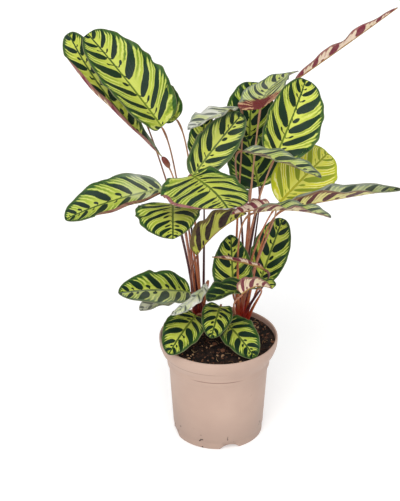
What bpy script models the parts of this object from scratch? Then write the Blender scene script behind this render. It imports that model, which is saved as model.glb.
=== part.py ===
"""Potted calathea: a plastic nursery pot of soil, three clumps of leaf stalks and 32 blades.

Metres in the scene, millimetres in the values below. The origin is the middle of the pot's underside,
+Z is up and the plant's front looks along -Y.
"""

import math

import bmesh
import bpy
from mathutils import Vector, noise

MM = 0.001

POT_HEIGHT = 127
LIP_RADIUS = 70
LIP_FOOT = 114
COLLAR_RADIUS = 61
COLLAR_TOP = 101
COLLAR_FOOT = 88
WALL_TOP_RADIUS = 58.5
FOOT_RADIUS = 53.4
FOOT_LIFT = 7
POT_WALL = 1.6
PAD_RADIUS = 20
PAD_FOOT_RADIUS = 28
POT_STEPS = 40
NOTCHES = 4
NOTCH_WIDTH = 24
NOTCH_HEIGHT = 6.2
FIRST_NOTCH_DEGREES = -75

SOIL_TOP = 121
SOIL_GAP = 0.3
SOIL_RELIEF = 1.6
SOIL_HILL = 3

CROWN_DEPTH = 24
CROWN_RISE = 5
STALK_FOOT_RADIUS = 1.9
STALK_TOP_RADIUS = 1.05
PULVINUS_RADIUS = 1.6
PULVINUS_LENGTH = 16
STALK_POINTS = 9
STALK_FOOT_DEPTH = 6
STALK_RISE_SHARE = 0.55
STALK_LEAN_SHARE = 0.28
JOINT_GAP = 0.6

BLADE_THICKNESS = 0.8
BLADE_ACROSS = 6
BLADE_ALONG = 10
BLADE_END_HALF = 1.4

GREEN = (0.16, 0.30, 0.05, 1)
YELLOW_GREEN = (0.45, 0.52, 0.05, 1)
STALK_RED = (0.36, 0.11, 0.05, 1)
POT_TAUPE = (0.61, 0.46, 0.37, 1)
PEAT = (0.045, 0.024, 0.014, 1)

# Each clump's crown: where it stands in the soil, and its radius.
CLUMPS = {
    "left": ((-22, 33), 13),
    "right": ((26, 34), 13),
    "front": ((-4, 8), 8),
}


def leaf(clump, base, tip, width, face, arch=6, fold=(14, 14), curl=(10, 10), twist=0, wave=2, waves=3,
         sway=0, cup=3, blunt=0.5, belly=0.9, sides=(1, 1), bow=(0, 0)):
    """One leaf. face is the compass angle (0 to the front, 90 to the right) and the height angle that the
    upper side looks to. fold and curl are the left and the right half's, arch and sway bend the midrib
    towards the upper side and to the right, and cup lifts the lobes beside the blade's foot. A higher blunt
    gives narrower ends, a lower belly brings the widest place nearer the foot, sides widens the left and
    the right half, and bow bends the stalk's lower part to the right and to the back."""
    return {
        "clump": clump,
        "base": Vector(base),
        "tip": Vector(tip),
        "width": width,
        "face": face,
        "arch": arch,
        "fold": fold,
        "curl": curl,
        "twist": twist,
        "wave": wave,
        "waves": waves,
        "sway": sway,
        "cup": cup,
        "blunt": blunt,
        "belly": belly,
        "sides": sides,
        "bow": Vector((*bow, 0)),
    }


LEAVES = {
    "leaf_top_left": leaf(
        "left", (-65, 8, 391), (-148, 56, 484), 80, (22, 24),
        fold=(34, 4), twist=-24, wave=3, blunt=0.42, belly=0.7, bow=(-10, 2),
    ),
    "leaf_top_left_outer": leaf(
        "left", (-65, 0, 358), (-172, 96, 469), 44, (35, 30),
        fold=(22, 22), twist=-75, sway=-13, belly=1.8,
    ),
    "leaf_top_left_inner": leaf("left", (-87, 70, 378), (-116, 104, 424), 40, (20, 40)),
    "leaf_top_left_hidden": leaf("left", (-49, 52, 381), (-98, 84, 418), 46, (10, 35), blunt=0.4),
    "leaf_crown_right": leaf(
        "right", (46, 20, 408), (92, 101, 420), 65, (-100, 75),
        arch=5, sway=-8.5, fold=(0, 20), cup=-7, blunt=0.75, belly=0.5,
    ),
    "leaf_crown_left": leaf(
        "right", (22, 59, 393), (-35, -18, 399), 38, (180, 66),
        arch=2.5, fold=(6, 14), cup=0, blunt=0.75, bow=(-12, -34),
    ),
    "leaf_crown_back": leaf("right", (35, 92, 321), (39, 124, 397), 62, (0, 30), blunt=0.4, bow=(16, 40)),
    "leaf_tall_middle": leaf("left", (-30, -5, 336), (26, 38, 394), 51, (-10, 30), fold=(34, 14)),
    "leaf_tall_middle_back": leaf("left", (-18, 24, 333), (-15, 52, 390), 34, (-20, 30)),
    "leaf_right_large": leaf(
        "right", (63, 14, 350), (98, 50, 431), 73, (15, 28),
        fold=(24, 14), blunt=0.47, bow=(-12, 0),
    ),
    "leaf_centre_broad": leaf(
        "left", (-31, -31, 349), (8, -127, 356), 102, (2, 89),
        arch=1.6, sway=-3.5, fold=(0, -1), curl=(3.5, 5), twist=-7, cup=12, blunt=0.27, belly=1.5,
        sides=(0.68, 1.22),
    ),
    "leaf_left_drooping": leaf(
        "left", (-52, -47, 322), (-51, -117, 314), 84, (0, 84),
        arch=6, fold=(28, 2), blunt=0.4, cup=0,
    ),
    "leaf_far_left": leaf("left", (-63, -30, 332), (-171, -70, 314), 58, (-20, 68), arch=6),
    "leaf_low_left": leaf("left", (-33, -30, 200), (-113, -86, 230), 46, (-10, 50)),
    "leaf_low_left_under": leaf("left", (-32, 0, 176), (-91, -40, 182), 32, (0, 80)),
    "leaf_low_left_edge": leaf("left", (-15, -30, 211), (-54, -80, 199), 15, (100, 20), fold=(20, 20)),
    "leaf_rim_left": leaf("front", (-26, -8, 157), (-58, -60, 135), 48, (-10, 45)),
    "leaf_rim_middle": leaf("front", (2, -6, 168), (-9, -50, 151), 38, (0, 45)),
    "leaf_rim_right": leaf("front", (8, -2, 144), (42, -50, 124), 44, (10, 45)),
    "leaf_centre_raised": leaf("left", (-25, -32, 249), (31, -16, 294), 61, (170, 55), fold=(25, 25)),
    "leaf_centre_curled": leaf(
        "right", (57, -40, 315), (13, -64, 317), 25, (180, 40),
        fold=(40, 40), arch=0, bow=(6, 0),
    ),
    "leaf_far_right": leaf(
        "right", (76, -20, 302), (208, 10, 312), 32, (0, 80),
        fold=(60, 60), twist=90, arch=2,
    ),
    "leaf_right_low": leaf(
        "right", (38, -62, 318), (121, -94, 328), 38, (180, 72),
        fold=(16, 16), bow=(-6, -24),
    ),
    "leaf_yellow_new": leaf("right", (70, 20, 291), (127, 68, 331), 74, (0, 35), bow=(-6, -6)),
    "leaf_centre_dark": leaf("right", (47, 62, 291), (33, 84, 345), 64, (0, 30)),
    "leaf_right_level": leaf("right", (26, -12, 370), (112, -50, 355), 40, (180, 78), arch=3, bow=(24, 6)),
    "leaf_low_right": leaf("right", (48, 24, 182), (76, 66, 247), 46, (-5, 30)),
    "leaf_low_centre": leaf("right", (17, 14, 180), (14, 28, 245), 50, (0, 30), blunt=0.6, belly=0.75),
    "leaf_low_rolled": leaf(
        "right", (26, -74, 222), (58, -98, 242), 30, (180, 55),
        fold=(35, 35), wave=0.6, blunt=0.25,
    ),
    "leaf_low_dark": leaf("right", (43, -26, 203), (-13, -80, 216), 44, (180, 85), arch=4),
    "leaf_spear": leaf(
        "right", (88, 108, 404), (210, 164, 474), 20, (180, 50),
        fold=(32, 32), curl=(20, 20), arch=0, blunt=0.6, bow=(10, 34),
    ),
    "leaf_low_edge": leaf(
        "right", (51, -20, 225), (-8, -38, 250), 9, (180, 50),
        fold=(50, 50), arch=2, wave=1,
    ),
}


def clear_scene():
    for obj in list(bpy.data.objects):
        bpy.data.objects.remove(obj, do_unlink=True)


def new_collection(name):
    collection = bpy.data.collections.new(name)
    bpy.context.scene.collection.children.link(collection)
    return collection


def new_material(name, colour, roughness):
    material = bpy.data.materials.new(name)
    material.use_nodes = True
    shader = material.node_tree.nodes["Principled BSDF"]
    shader.inputs["Base Color"].default_value = colour
    shader.inputs["Roughness"].default_value = roughness
    shader.inputs["Metallic"].default_value = 0
    return material


def add_object(name, data, collection, material=None):
    obj = bpy.data.objects.new(name, data)
    collection.objects.link(obj)
    if material:
        data.materials.append(material)
    return obj


def mesh_from(name, points, edges=(), faces=()):
    mesh = bpy.data.meshes.new(name)
    mesh.from_pydata([Vector(point) * MM for point in points], edges, faces)
    return mesh


def applied_mesh(obj, name):
    """The mesh that the object's modifiers or curve make, with coinciding points welded."""
    graph = bpy.context.evaluated_depsgraph_get()
    mesh = bpy.data.meshes.new_from_object(obj.evaluated_get(graph))
    mesh.name = name
    shape = bmesh.new()
    shape.from_mesh(mesh)
    bmesh.ops.remove_doubles(shape, verts=shape.verts, dist=0.01 * MM)
    shape.to_mesh(mesh)
    shape.free()
    return mesh


def keep_largest_shell(mesh):
    """Removes the small sealed pockets that a union can leave between stalks."""
    shape = bmesh.new()
    shape.from_mesh(mesh)
    unseen = set(shape.verts)
    shells = []
    while unseen:
        shell = [unseen.pop()]
        for vertex in shell:
            for edge in vertex.link_edges:
                other = edge.other_vert(vertex)
                if other in unseen:
                    unseen.remove(other)
                    shell.append(other)
        shells.append(shell)
    shells.sort(key=len)
    pockets = [vertex for shell in shells[:-1] for vertex in shell]
    bmesh.ops.delete(shape, geom=pockets, context="VERTS")
    shape.to_mesh(mesh)
    shape.free()


def turned_object(name, profile, steps, collection, material):
    """A profile of (radius, height) points, turned round the Z axis."""
    points = [(radius, 0, height) for radius, height in profile]
    edges = [(i, i + 1) for i in range(len(points) - 1)]
    obj = add_object(name, mesh_from(name, points, edges), collection, material)
    screw = obj.modifiers.new("Turned", "SCREW")
    screw.steps = steps
    screw.render_steps = steps
    screw.use_merge_vertices = True
    screw.merge_threshold = 0.00001
    return obj


def wall_radius(height):
    """The pot's outer radius on the straight, tapered part of its wall, below the collar."""
    share = (height - FOOT_LIFT) / (COLLAR_FOOT - FOOT_LIFT)
    return FOOT_RADIUS + (WALL_TOP_RADIUS - FOOT_RADIUS) * share


def pot_profile():
    """From the middle of the inner floor, up the inside, over the lip and down the outside."""
    inner_floor = FOOT_LIFT + POT_WALL
    return [
        (0, POT_WALL),
        (PAD_RADIUS - 1, POT_WALL),
        (PAD_FOOT_RADIUS - 1, inner_floor),
        (wall_radius(inner_floor) - POT_WALL, inner_floor),
        (wall_radius(COLLAR_FOOT) - POT_WALL, COLLAR_FOOT),
        (COLLAR_RADIUS - POT_WALL, COLLAR_TOP),
        (LIP_RADIUS - 1.5 - POT_WALL, LIP_FOOT),
        (LIP_RADIUS - 2.6, POT_HEIGHT - 1),
        (LIP_RADIUS - 1.4, POT_HEIGHT),
        (LIP_RADIUS - 0.2, POT_HEIGHT - 1),
        (LIP_RADIUS, POT_HEIGHT - 4),
        (LIP_RADIUS - 0.6, LIP_FOOT + 2),
        (LIP_RADIUS - 3.2, LIP_FOOT - 4.5),
        (COLLAR_RADIUS + 0.6, COLLAR_TOP),
        (COLLAR_RADIUS - 0.4, COLLAR_FOOT + 4),
        (wall_radius(COLLAR_FOOT), COLLAR_FOOT),
        (wall_radius(FOOT_LIFT + 5), FOOT_LIFT + 5),
        (FOOT_RADIUS - 0.7, FOOT_LIFT + 3.5),
        (FOOT_RADIUS - 0.7, 1),
        (FOOT_RADIUS - 1.7, 0),
        (FOOT_RADIUS - 5, 0),
        (FOOT_RADIUS - 7, FOOT_LIFT),
        (PAD_FOOT_RADIUS, FOOT_LIFT),
        (PAD_RADIUS, 0),
        (0, 0),
    ]


def notch_cutter(number, cutters):
    """A round bar that lies along a radius and cuts an arched drain notch in the foot ring."""
    bar_radius = (NOTCH_HEIGHT**2 + (NOTCH_WIDTH / 2) ** 2) / (2 * NOTCH_HEIGHT)
    angle = math.radians(FIRST_NOTCH_DEGREES + number * 360 / NOTCHES)
    mesh = bpy.data.meshes.new(f"notch_cutter_{number}")
    shape = bmesh.new()
    bmesh.ops.create_cone(
        shape,
        cap_ends=True,
        segments=28,
        radius1=bar_radius * MM,
        radius2=bar_radius * MM,
        depth=16 * MM,
    )
    shape.to_mesh(mesh)
    shape.free()
    cutter = add_object(mesh.name, mesh, cutters)
    reach = FOOT_RADIUS - 3
    place = Vector((math.cos(angle) * reach, math.sin(angle) * reach, NOTCH_HEIGHT - bar_radius))
    cutter.location = place * MM
    cutter.rotation_euler = (0, math.pi / 2, angle)
    cutter.hide_render = True
    cutter.display_type = "WIRE"
    return cutter


def make_pot(parts, cutters):
    material = new_material("pot_plastic", POT_TAUPE, 0.5)
    pot = turned_object("pot", pot_profile(), POT_STEPS, parts, material)
    for number in range(NOTCHES):
        cut = pot.modifiers.new(f"Notch {number}", "BOOLEAN")
        cut.operation = "DIFFERENCE"
        cut.solver = "EXACT"
        cut.object = notch_cutter(number, cutters)
    return pot


def soil_profile():
    """From the middle of the soil's top, out to the pot's inner wall and down to the pot's floor."""
    inner_floor = FOOT_LIFT + POT_WALL
    wall_gap = POT_WALL + SOIL_GAP
    edge_radius = LIP_RADIUS - 1.5 - wall_gap
    shares = (0, 0.18, 0.36, 0.54, 0.7, 0.86, 1)
    rings = [(edge_radius * share, SOIL_TOP + SOIL_HILL * (1 - share**2)) for share in shares]
    return rings + [
        (edge_radius, LIP_FOOT),
        (COLLAR_RADIUS - wall_gap, COLLAR_TOP),
        (wall_radius(COLLAR_FOOT) - wall_gap, COLLAR_FOOT),
        (wall_radius(inner_floor) - wall_gap, inner_floor + SOIL_GAP),
        (PAD_FOOT_RADIUS - 1, inner_floor + SOIL_GAP),
        (PAD_RADIUS - 1, POT_WALL + SOIL_GAP),
        (0, POT_WALL + SOIL_GAP),
    ]


def make_soil(parts, cutters):
    """The peat, with a crumbly top and a plain hole for each crown."""
    material = new_material("peat", PEAT, 0.95)
    soil = turned_object("soil", soil_profile(), POT_STEPS // 2, parts, material)
    mesh = applied_mesh(soil, "soil")
    edge = (LIP_RADIUS - 8) * MM
    for vertex in mesh.vertices:
        place = vertex.co
        if place.z > (SOIL_TOP - 1) * MM and math.hypot(place.x, place.y) < edge:
            place.z += noise.noise(place * 90) * 2 * SOIL_RELIEF * MM
    bpy.data.objects.remove(soil, do_unlink=True)
    soil = add_object("soil", mesh, parts, material)
    for name, (place, radius) in CLUMPS.items():
        hole = crown_object(f"{name}_hole", place, radius + SOIL_GAP, CROWN_DEPTH + SOIL_GAP, 40, cutters)
        hole.hide_render = True
        hole.display_type = "WIRE"
        cut = soil.modifiers.new(f"Hole for {name}", "BOOLEAN")
        cut.operation = "DIFFERENCE"
        cut.solver = "EXACT"
        cut.object = hole
    return soil


def crown_object(name, place, radius, depth, rise, collection, material=None):
    """A short upright cylinder at a clump's place, from under the soil's top to a height above it."""
    mesh = bpy.data.meshes.new(name)
    shape = bmesh.new()
    bmesh.ops.create_cone(
        shape,
        cap_ends=True,
        segments=16,
        radius1=radius * MM,
        radius2=radius * MM,
        depth=(depth + rise) * MM,
    )
    shape.to_mesh(mesh)
    shape.free()
    obj = add_object(name, mesh, collection, material)
    obj.location = Vector((place[0], place[1], SOIL_TOP + (rise - depth) / 2)) * MM
    return obj


def outline(along, blunt, belly):
    """Half the blade's width at a share of its length, as a share of the widest."""
    return math.sin(math.pi * along**belly) ** blunt if 0 < along < 1 else 0


def face_vector(face):
    compass, height = (math.radians(angle) for angle in face)
    level = math.cos(height)
    return Vector((math.sin(compass) * level, -math.cos(compass) * level, math.sin(height)))


def blade_frame(spec, along):
    """The midrib's place, and the directions along it, to the right and up from the upper side."""
    chord = spec["tip"] - spec["base"]
    way = chord.normalized()
    up = face_vector(spec["face"])
    up = (up - way * up.dot(way)).normalized()
    right = way.cross(up)
    bend = up * spec["arch"] + right * spec["sway"]
    middle = spec["base"] + chord * along + bend * 4 * along * (1 - along)
    tangent = (chord + bend * 4 * (1 - 2 * along)).normalized()
    up = (up - tangent * up.dot(tangent)).normalized()
    turn = math.radians(spec["twist"]) * (along - 0.5)
    up = up * math.cos(turn) + tangent.cross(up) * math.sin(turn)
    return middle, tangent, tangent.cross(up), up


def half_section(share, fold, curl):
    """How far out and up a point lies at a share of the half's width, for a half of width 1."""
    start = math.radians(fold)
    bend = math.radians(curl)
    if abs(bend) < 0.001:
        return share * math.cos(start), share * math.sin(start)
    end = start + bend * share
    return (math.sin(end) - math.sin(start)) / bend, (math.cos(start) - math.cos(end)) / bend


def blade_point(spec, across, along):
    middle, tangent, right, up = blade_frame(spec, along)
    side = 1 if across > 0 else 0
    share = abs(across)
    widest = spec["width"] / 2 * spec["sides"][side]
    half_width = max(widest * outline(along, spec["blunt"], spec["belly"]), BLADE_END_HALF)
    out, rise = half_section(share, spec["fold"][side], spec["curl"][side])
    ripple = spec["wave"] * share**2 * math.sin(2 * math.pi * (spec["waves"] * along + 0.3 * side))
    ripple *= math.sin(math.pi * along)
    lobe = spec["cup"] * share**1.5 * (1 - along) ** 3 * min(1, along * 9)
    sign = 1 if side else -1
    place = middle + right * (sign * out * half_width) + up * (rise * half_width + ripple + lobe)
    return place - tangent * lobe * 0.3


def along_shares():
    """Rows along the blade, closer together at its two ends."""
    even = [i / BLADE_ALONG for i in range(BLADE_ALONG + 1)]
    return [0.6 * share + 0.2 * (1 - math.cos(math.pi * share)) for share in even]


def make_blade(name, spec, parts, material):
    columns = BLADE_ACROSS + 1
    points = []
    for along in along_shares():
        for column in range(columns):
            points.append(blade_point(spec, 2 * column / BLADE_ACROSS - 1, along))
    faces = []
    for row in range(BLADE_ALONG):
        for column in range(BLADE_ACROSS):
            near = row * columns + column
            far = near + columns
            if column < BLADE_ACROSS / 2:
                faces += [(near, near + 1, far), (near + 1, far + 1, far)]
            else:
                faces += [(near, near + 1, far + 1), (near, far + 1, far)]
    blade = add_object(name, mesh_from(name, points, faces=faces), parts, material)
    blade.data.shade_smooth()
    solidify = blade.modifiers.new("Thickness", "SOLIDIFY")
    solidify.thickness = BLADE_THICKNESS * MM
    solidify.offset = 0
    return blade


def stalk_route(spec, number, count):
    """A smooth route from the clump's crown to just short of the blade's foot."""
    place, radius = CLUMPS[spec["clump"]]
    end, tangent, _, _ = blade_frame(spec, 0)
    end = end - tangent * JOINT_GAP
    lean = Vector((end.x - place[0], end.y - place[1], 0))
    turn = number * 2.4
    spread = radius * 0.55 * math.sqrt((number + 0.5) / count)
    foot = Vector((place[0], place[1], SOIL_TOP - STALK_FOOT_DEPTH))
    foot += Vector((math.cos(turn), math.sin(turn), 0)) * spread
    height = end.z - foot.z
    rise = foot + lean * STALK_LEAN_SHARE + Vector((0, 0, height * STALK_RISE_SHARE)) + spec["bow"]
    turn_in = end - tangent * min(PULVINUS_LENGTH * 1.6, height * 0.4)
    route = []
    for step in range(STALK_POINTS):
        share = step / (STALK_POINTS - 1)
        rest = 1 - share
        lower = foot * rest**3 + rise * 3 * share * rest**2
        route.append(lower + turn_in * 3 * share**2 * rest + end * share**3)
    return route


def stalk_object(name, route, collection):
    curve = bpy.data.curves.new(name, "CURVE")
    curve.dimensions = "3D"
    curve.bevel_depth = STALK_FOOT_RADIUS * MM
    curve.bevel_resolution = 1
    curve.use_fill_caps = True
    spline = curve.splines.new("POLY")
    spline.points.add(len(route) - 1)
    for step, place in enumerate(route):
        share = step / (len(route) - 1)
        radius = STALK_FOOT_RADIUS + (STALK_TOP_RADIUS - STALK_FOOT_RADIUS) * min(1, share * 1.3)
        from_end = (route[-1] - place).length
        if from_end < PULVINUS_LENGTH:
            radius = PULVINUS_RADIUS
        spline.points[step].co = (*(place * MM), 1)
        spline.points[step].radius = radius / STALK_FOOT_RADIUS
    guide = add_object(name, curve, collection)
    tube = add_object(name + "_tube", applied_mesh(guide, name), collection)
    bpy.data.objects.remove(guide, do_unlink=True)
    return tube


def make_clump(name, parts, material):
    """The crown and all of its stalks, joined in one body."""
    place, radius = CLUMPS[name]
    helpers = new_collection(f"{name}_stalk_pieces")
    mine = [spec for spec in LEAVES.values() if spec["clump"] == name]
    for number, spec in enumerate(mine):
        stalk_object(f"{name}_stalk_{number}", stalk_route(spec, number, len(mine)), helpers)
    crown = crown_object(f"{name}_crown", place, radius, CROWN_DEPTH, CROWN_RISE, parts, material)
    join = crown.modifiers.new("Stalks", "BOOLEAN")
    join.operation = "UNION"
    join.operand_type = "COLLECTION"
    join.collection = helpers
    join.solver = "EXACT"
    clump = add_object(f"stalks_{name}", applied_mesh(crown, f"stalks_{name}"), parts)
    keep_largest_shell(clump.data)
    clump.matrix_world = crown.matrix_world.copy()
    bpy.data.objects.remove(crown, do_unlink=True)
    for helper in list(helpers.objects):
        bpy.data.objects.remove(helper, do_unlink=True)
    bpy.data.collections.remove(helpers)
    return clump


def main():
    clear_scene()
    parts = new_collection("potted_calathea")
    cutters = new_collection("cutters")
    make_pot(parts, cutters)
    make_soil(parts, cutters)
    stalk_material = new_material("stalk", STALK_RED, 0.45)
    for name in CLUMPS:
        make_clump(name, parts, stalk_material)
    green = new_material("blade_green", GREEN, 0.35)
    yellow = new_material("blade_yellow", YELLOW_GREEN, 0.35)
    for name, spec in LEAVES.items():
        make_blade(name, spec, parts, yellow if name == "leaf_yellow_new" else green)


main()
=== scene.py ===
import math
import random

import bmesh
import bpy
from mathutils import Matrix, Vector, noise


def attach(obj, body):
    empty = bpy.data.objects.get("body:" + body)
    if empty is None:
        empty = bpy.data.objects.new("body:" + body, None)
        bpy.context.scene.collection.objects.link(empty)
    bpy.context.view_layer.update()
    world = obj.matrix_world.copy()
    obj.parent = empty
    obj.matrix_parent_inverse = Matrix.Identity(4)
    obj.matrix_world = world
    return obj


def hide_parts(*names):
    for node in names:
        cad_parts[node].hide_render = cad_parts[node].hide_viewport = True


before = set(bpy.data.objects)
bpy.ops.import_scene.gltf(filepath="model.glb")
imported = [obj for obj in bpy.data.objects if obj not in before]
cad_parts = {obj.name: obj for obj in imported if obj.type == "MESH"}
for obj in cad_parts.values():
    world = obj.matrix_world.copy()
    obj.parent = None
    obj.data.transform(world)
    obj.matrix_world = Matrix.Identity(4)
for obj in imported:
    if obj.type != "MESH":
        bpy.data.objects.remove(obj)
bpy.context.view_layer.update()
scene = bpy.context.scene
mm = 0.001


# A Wire holds one number socket, so that shader maths reads as plain expressions.
class Wire:
    def __init__(self, recipe, socket):
        self.recipe = recipe
        self.socket = socket

    def __add__(self, other):
        return self.recipe.maths("ADD", self, other)

    def __sub__(self, other):
        return self.recipe.maths("SUBTRACT", self, other)

    def __rsub__(self, other):
        return self.recipe.maths("SUBTRACT", other, self)

    def __mul__(self, other):
        return self.recipe.maths("MULTIPLY", self, other)

    def __truediv__(self, other):
        return self.recipe.maths("DIVIDE", self, other)

    def __pow__(self, other):
        return self.recipe.maths("POWER", self, other)

    def __gt__(self, other):
        return self.recipe.maths("GREATER_THAN", self, other)

    def __abs__(self):
        return self.recipe.maths("ABSOLUTE", self)

    __radd__ = __add__


# One material. node() takes a type, its settings, and the values or links of its sockets.
class Recipe:
    def __init__(self, name, fixed):
        self.material = bpy.data.materials.new(name)
        self.material.use_nodes = True
        self.tree = self.material.node_tree
        self.shader = self.tree.nodes["Principled BSDF"]
        for socket, value in fixed.items():
            self.plug(self.shader.inputs[socket], value)

    def plug(self, socket, value):
        if isinstance(value, Wire):
            value = value.socket
        if isinstance(value, bpy.types.NodeSocket):
            self.tree.links.new(value, socket)
        else:
            socket.default_value = value

    def node(self, kind, settings, inputs):
        made = self.tree.nodes.new("ShaderNode" + kind)
        for key, value in settings.items():
            setattr(made, key, value)
        for key, value in inputs.items():
            self.plug(made.inputs[key], value)
        return made

    def maths(self, operation, *values):
        made = self.node("Math", {"operation": operation}, dict(enumerate(values)))
        return Wire(self, made.outputs[0])

    def attribute(self, name):
        made = self.node("Attribute", {"attribute_name": name}, {})
        return Wire(self, made.outputs["Fac"])

    def place(self):
        return self.node("TexCoord", {}, {}).outputs["Object"]

    def vector(self, x, y, z):
        return self.node("CombineXYZ", {}, {"X": x, "Y": y, "Z": z}).outputs[0]

    def noise(self, place, scale, detail, roughness=0.5):
        inputs = {"Vector": place, "Scale": scale, "Detail": detail, "Roughness": roughness}
        return Wire(self, self.node("TexNoise", {}, inputs).outputs["Fac"])

    def largest(self, *wires):
        best = wires[0]
        for wire in wires[1:]:
            best = self.maths("MAXIMUM", best, wire)
        return best

    # three random numbers from 0 to 1 for each cell
    def chances(self, cell):
        made = self.node("TexWhiteNoise", {"noise_dimensions": "3D"}, {"Vector": cell})
        parts = self.node("SeparateColor", {}, {"Color": made.outputs["Color"]})
        return [Wire(self, parts.outputs[i]) for i in range(3)]

    # 0 at low, 1 at high, and smooth between them
    def step(self, value, low, high):
        inputs = {"Value": value, "From Min": low, "From Max": high}
        made = self.node("MapRange", {"interpolation_type": "SMOOTHSTEP"}, inputs)
        return Wire(self, made.outputs[0])

    # 6 and 7 are the colour mix's A and B
    def mix(self, share, first, second):
        inputs = {0: share, 6: colour(first), 7: colour(second)}
        return self.node("Mix", {"data_type": "RGBA"}, inputs).outputs[2]

    def finish(self, baseColour, roughness, height, distance, strength):
        self.plug(self.shader.inputs["Base Color"], baseColour)
        self.plug(self.shader.inputs["Roughness"], roughness)
        bump = self.node("Bump", {}, {"Height": height, "Distance": distance, "Strength": strength})
        self.plug(self.shader.inputs["Normal"], bump.outputs[0])
        return self.material


def linear(value):
    share = value / 255
    return share / 12.92 if share <= 0.04045 else ((share + 0.055) / 1.055) ** 2.4


# a colour is three screen values from 0 to 255, or a socket
def colour(value):
    if isinstance(value, tuple):
        return (*(linear(part) for part in value), 1)
    return value


def addPiece(name, shape, materials, replaced):
    mesh = bpy.data.meshes.new(name)
    shape.to_mesh(mesh)
    shape.free()
    mesh.shade_smooth()
    for material in materials:
        mesh.materials.append(material)
    piece = bpy.data.objects.new(name, mesh)
    scene.collection.objects.link(piece)
    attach(piece, "root")
    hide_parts(replaced)
    return piece


# Leaves. The same real sizes in millimetres as the solids have.
def blade(clump, base, tip, width, face, arch=6, fold=(14, 14), curl=(10, 10), twist=0, wave=2, waves=3,
          sway=0, cup=3, blunt=0.5, belly=0.9, sides=(1, 1), bow=(0, 0)):
    return {
        "clump": clump, "base": Vector(base), "tip": Vector(tip), "width": width, "face": face,
        "arch": arch, "fold": fold, "curl": curl, "twist": twist, "wave": wave, "waves": waves,
        "sway": sway, "cup": cup, "blunt": blunt, "belly": belly, "sides": sides,
        "bow": Vector((*bow, 0)),
    }


blades = {
    "top_left": blade("left", (-65, 8, 391), (-148, 56, 484), 80, (22, 24),
                      fold=(34, 4), twist=-24, wave=3, blunt=0.42, belly=0.7, bow=(-10, 2)),
    "top_left_outer": blade("left", (-65, 0, 358), (-172, 96, 469), 44, (35, 30),
                            fold=(22, 22), twist=-75, sway=-13, belly=1.8),
    "top_left_inner": blade("left", (-87, 70, 378), (-116, 104, 424), 40, (20, 40)),
    "top_left_hidden": blade("left", (-49, 52, 381), (-98, 84, 418), 46, (10, 35), blunt=0.4),
    "crown_right": blade("right", (46, 20, 408), (92, 101, 420), 65, (-100, 75),
                         arch=5, sway=-8.5, fold=(0, 20), cup=-7, blunt=0.75, belly=0.5),
    "crown_left": blade("right", (22, 59, 393), (-35, -18, 399), 38, (180, 66),
                        arch=2.5, fold=(6, 14), cup=0, blunt=0.75, bow=(-12, -34)),
    "crown_back": blade("right", (35, 92, 321), (39, 124, 397), 62, (0, 30), blunt=0.4, bow=(16, 40)),
    "tall_middle": blade("left", (-30, -5, 336), (26, 38, 394), 51, (-10, 30), fold=(34, 14)),
    "tall_middle_back": blade("left", (-18, 24, 333), (-15, 52, 390), 34, (-20, 30)),
    "right_large": blade("right", (63, 14, 350), (98, 50, 431), 73, (15, 28),
                         fold=(24, 14), blunt=0.47, bow=(-12, 0)),
    "centre_broad": blade("left", (-31, -31, 349), (8, -127, 356), 102, (2, 89),
                          arch=1.6, sway=-3.5, fold=(0, -1), curl=(3.5, 5), twist=-7, cup=12, blunt=0.27,
                          belly=1.5, sides=(0.68, 1.22)),
    "left_drooping": blade("left", (-52, -47, 322), (-51, -117, 314), 84, (0, 84),
                           arch=6, fold=(28, 2), blunt=0.4, cup=0),
    "far_left": blade("left", (-63, -30, 332), (-171, -70, 314), 58, (-20, 68), arch=6),
    "low_left": blade("left", (-33, -30, 200), (-113, -86, 230), 46, (-10, 50)),
    "low_left_under": blade("left", (-32, 0, 176), (-91, -40, 182), 32, (0, 80)),
    "low_left_edge": blade("left", (-15, -30, 211), (-54, -80, 199), 15, (100, 20), fold=(20, 20)),
    "rim_left": blade("front", (-26, -8, 157), (-58, -60, 135), 48, (-10, 45)),
    "rim_middle": blade("front", (2, -6, 168), (-9, -50, 151), 38, (0, 45)),
    "rim_right": blade("front", (8, -2, 144), (42, -50, 124), 44, (10, 45)),
    "centre_raised": blade("left", (-25, -32, 249), (31, -16, 294), 61, (170, 55), fold=(25, 25)),
    "centre_curled": blade("right", (57, -40, 315), (13, -64, 317), 25, (180, 40),
                           fold=(40, 40), arch=0, bow=(6, 0)),
    "far_right": blade("right", (76, -20, 302), (208, 10, 312), 32, (0, 80),
                       fold=(60, 60), twist=90, arch=2),
    "right_low": blade("right", (38, -62, 318), (121, -94, 328), 38, (180, 72),
                       fold=(16, 16), bow=(-6, -24)),
    "yellow_new": blade("right", (70, 20, 291), (127, 68, 331), 74, (0, 35), bow=(-6, -6)),
    "centre_dark": blade("right", (47, 62, 291), (33, 84, 345), 64, (0, 30)),
    "right_level": blade("right", (26, -12, 370), (112, -50, 355), 40, (180, 78), arch=3, bow=(24, 6)),
    "low_right": blade("right", (48, 24, 182), (76, 66, 247), 46, (-5, 30)),
    "low_centre": blade("right", (17, 14, 180), (14, 28, 245), 50, (0, 30), blunt=0.6, belly=0.75),
    "low_rolled": blade("right", (26, -74, 222), (58, -98, 242), 30, (180, 55),
                        fold=(35, 35), wave=0.6, blunt=0.25),
    "low_dark": blade("right", (43, -26, 203), (-13, -80, 216), 44, (180, 85), arch=4),
    "spear": blade("right", (88, 108, 404), (210, 164, 474), 20, (180, 50),
                   fold=(32, 32), curl=(20, 20), arch=0, blunt=0.6, bow=(10, 34)),
    "low_edge": blade("right", (51, -20, 225), (-8, -38, 250), 9, (180, 50),
                      fold=(50, 50), arch=2, wave=1),
}

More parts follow.
